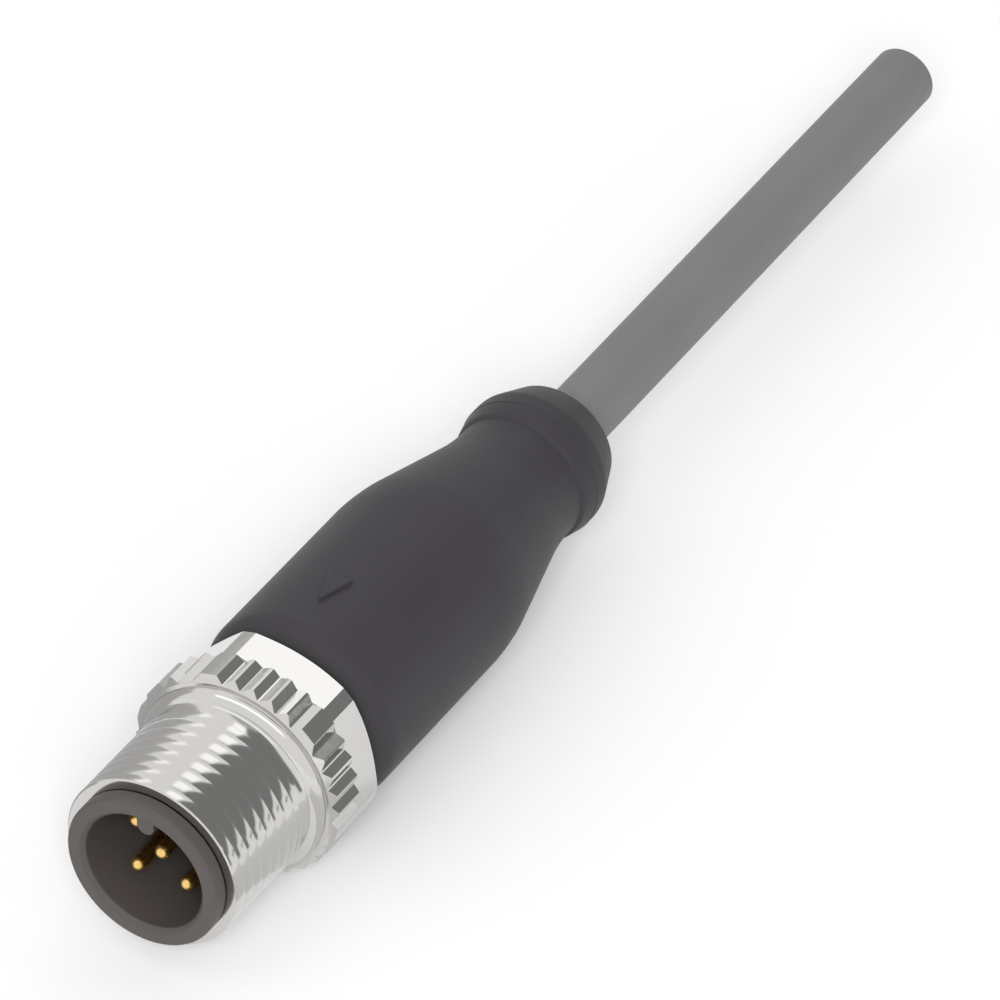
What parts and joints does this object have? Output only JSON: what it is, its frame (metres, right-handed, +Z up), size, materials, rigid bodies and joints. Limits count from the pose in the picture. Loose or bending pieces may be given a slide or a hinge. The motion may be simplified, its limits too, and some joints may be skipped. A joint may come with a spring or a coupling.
{
  "type": "m12 connector",
  "caption": "Straight male circular plug with a knurled screw coupling, keyed insert with round contacts and a waisted moulded grip on a grey cable stub.",
  "frame": {"origin": "on the plug's axis, in the plane of the mating face", "axes": "+Y along the axis from the mating face to the cable, +Z up on the side of the coding key, +X to the right seen from the front"},
  "size_m": [0.0144, 0.0943, 0.0144],
  "materials": {
    "carrier_plastic": "moulded, fine matt",
    "gold_plate": "gold plated, bright",
    "nickel_plate": "nickel plated brass, bright",
    "grip_plastic": "moulded, satin",
    "jacket_plastic": "extruded, satin",
    "core_brown": "extruded",
    "core_white": "extruded",
    "core_blue": "extruded",
    "core_black": "extruded",
    "core_grey": "extruded",
    "copper": "bare stranded copper"
  },
  "bodies": {
    "plug": {"contact_carrier": "carrier_plastic", "contact_pin_1": "gold_plate", "contact_pin_2": "gold_plate", "contact_pin_3": "gold_plate", "contact_pin_4": "gold_plate", "contact_pin_5": "gold_plate", "grip": "grip_plastic", "cable_jacket": "jacket_plastic", "core_1": "core_brown", "core_2": "core_white", "core_3": "core_blue", "core_4": "core_black", "core_5": "core_grey", "conductor_1": "copper", "conductor_2": "copper", "conductor_3": "copper", "conductor_4": "copper", "conductor_5": "copper"},
    "screw": {"coupling_screw": "nickel_plate"}
  },
  "joints": [
    {"name": "screw_spin", "type": "hinge", "parent": "plug", "child": "screw", "pos_m": [0, 0.0085, 0], "axis": [0, 1, 0], "continuous": true}
  ]
}
